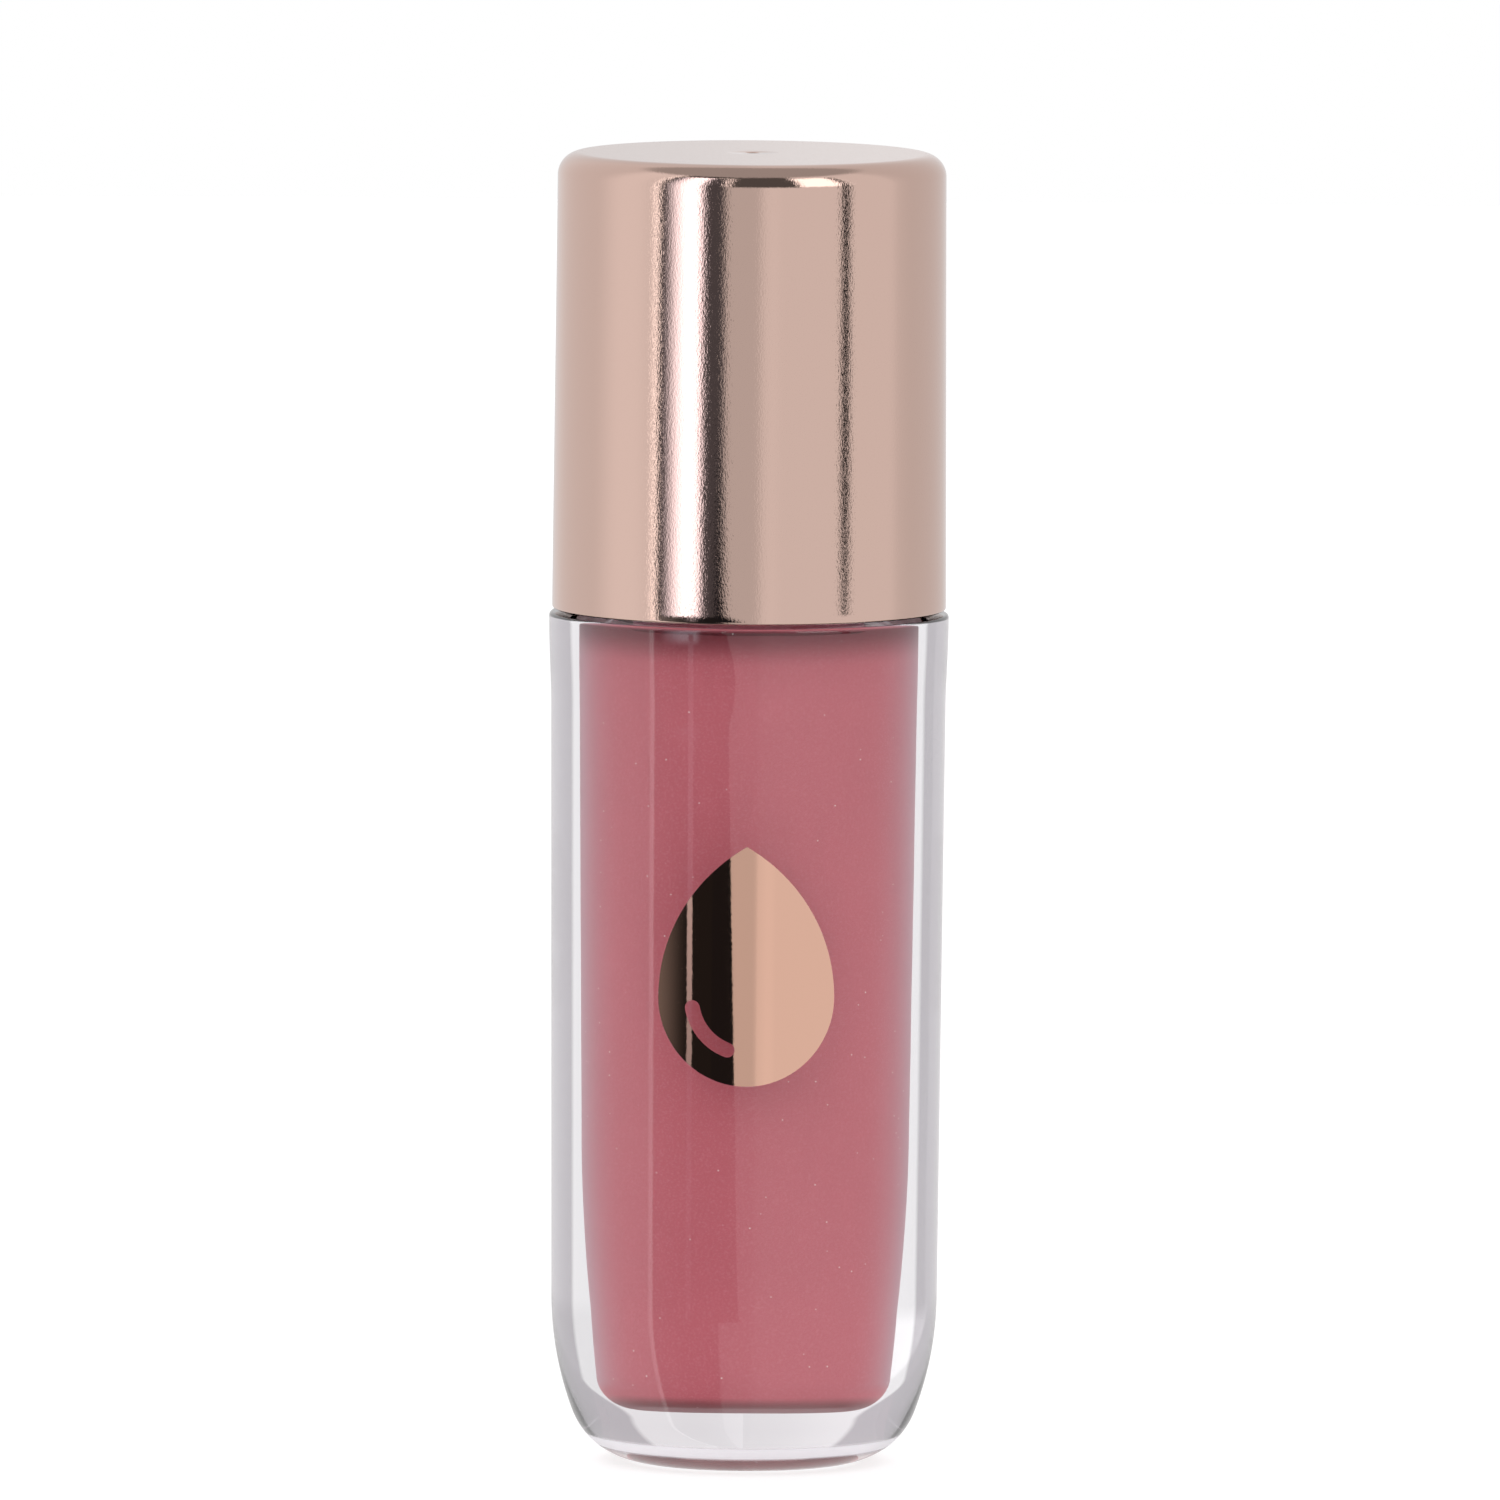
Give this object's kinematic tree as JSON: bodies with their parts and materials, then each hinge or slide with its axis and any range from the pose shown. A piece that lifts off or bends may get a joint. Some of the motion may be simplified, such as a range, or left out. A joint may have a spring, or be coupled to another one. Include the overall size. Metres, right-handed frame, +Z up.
{
  "type": "lip gloss tube",
  "caption": "Clear heavy-walled round-heeled tube of pink gloss with a metallised screw cap that carries a flocked wand through a neck wiper.",
  "frame": {"origin": "centre of the bottle's flat foot, on the surface that it stands on", "axes": "+Z up the tube towards the cap; the emblem on the bottle's front faces -Y; +X is to its right"},
  "size_m": [0.021, 0.021, 0.069],
  "materials": {
    "clear_plastic": "polished, water clear",
    "gloss": "thick dusty pink liquid with fine pearl",
    "soft_plastic": "natural soft polyethylene",
    "foil": "mirror rose gold hot-stamped foil",
    "foam": "fine-celled foam",
    "metallised": "rose gold vacuum-metallised, gloss lacquer",
    "liner_plastic": "natural polypropylene",
    "rod_plastic": "smooth natural polypropylene",
    "flock": "short nylon flock wetted with gloss"
  },
  "bodies": {
    "bottle": {"bottle": "clear_plastic", "gloss_fill": "gloss", "wiper": "soft_plastic", "foil_emblem": "foil"},
    "neck_seal": {"neck_seal": "foam"},
    "cap": {"outer_cap": "metallised", "inner_cap": "liner_plastic", "applicator_rod": "rod_plastic", "tip_core": "rod_plastic", "tip_flocking": "flock"}
  },
  "joints": [
    {"name": "cap_lift", "type": "slide", "parent": "bottle", "child": "neck_seal", "axis": [0, 0, 1], "range_m": [0, 0.055], "deforming": ["wiper"]},
    {"name": "cap_turn", "type": "hinge", "parent": "neck_seal", "child": "cap", "pos_m": [0, 0, 0.05], "axis": [0, 0, 1], "range_deg": [0, 450]}
  ]
}
